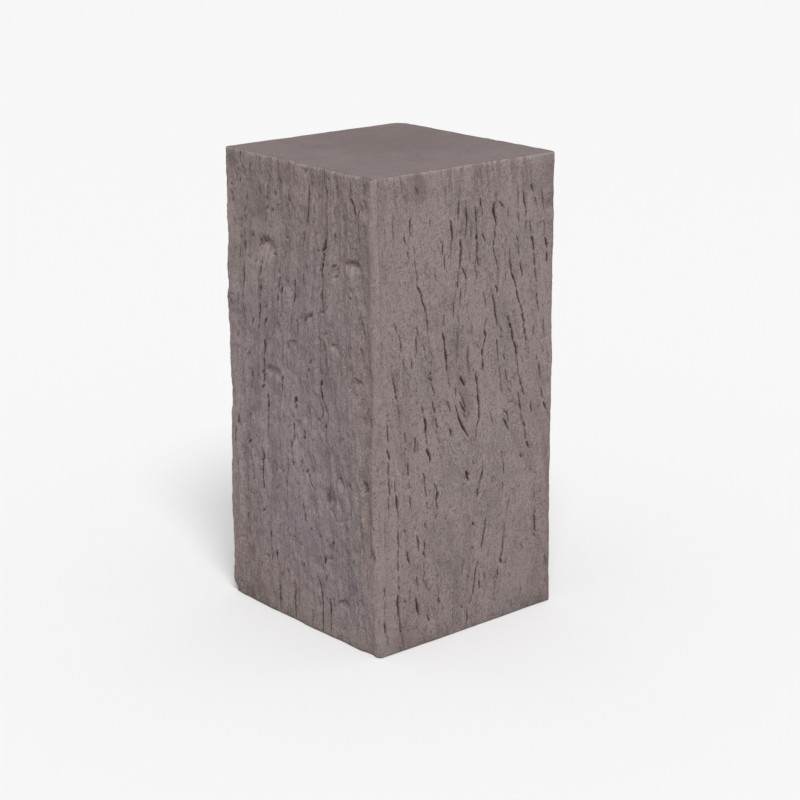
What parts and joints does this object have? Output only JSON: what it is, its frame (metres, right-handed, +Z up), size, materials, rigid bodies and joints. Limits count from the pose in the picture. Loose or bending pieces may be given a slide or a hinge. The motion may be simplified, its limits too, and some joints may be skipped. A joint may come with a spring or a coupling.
{
  "type": "wood-grain pedestal",
  "caption": "Square pedestal block cast in one piece to look like a weathered hewn timber, with a plain flat top.",
  "frame": {"origin": "middle of the flat underside, where the pedestal meets the floor", "axes": "+Z up along the grain, -Y out of the front face, X across the front face"},
  "size_m": [0.308, 0.308, 0.61],
  "materials": {
    "weathered_cast": "matte, sandy, weathered taupe with brown crevices"
  },
  "bodies": {
    "root": {"timber_block": "weathered_cast"}
  },
  "joints": []
}
